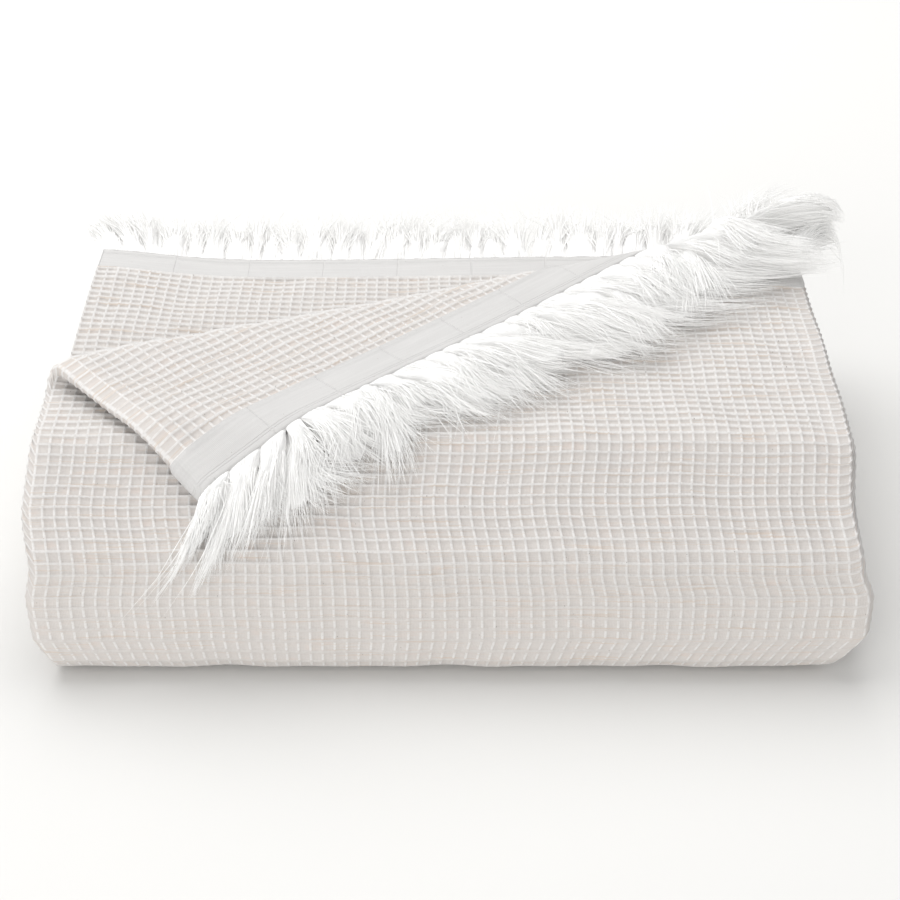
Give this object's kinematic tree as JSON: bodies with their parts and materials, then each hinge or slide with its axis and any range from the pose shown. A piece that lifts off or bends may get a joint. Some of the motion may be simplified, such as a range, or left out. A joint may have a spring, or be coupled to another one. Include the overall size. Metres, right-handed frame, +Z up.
{
  "type": "folded waffle weave cotton blanket",
  "caption": "Waffle weave cotton throw with a brushed fringe at each end, folded in three across and in layers, with its upper back corner turned forward.",
  "frame": {"origin": "middle of the face that the folded stack rests on, at the floor", "axes": "+Z up from the floor through the layers, +X to the right along the wrapped front of the stack, +Y from that front to the back"},
  "size_m": [0.4585, 0.3529, 0.1293],
  "materials": {
    "waffle_cotton": "matt waffle weave in undyed cotton, ridges lighter than the cells, with faint tan slubs",
    "brushed_fringe": "matt brushed cotton ends, nearly white"
  },
  "bodies": {
    "root": {"blanket_cloth": "waffle_cotton", "fringe_upper_end": "brushed_fringe", "fringe_lower_end": "brushed_fringe"}
  },
  "joints": []
}
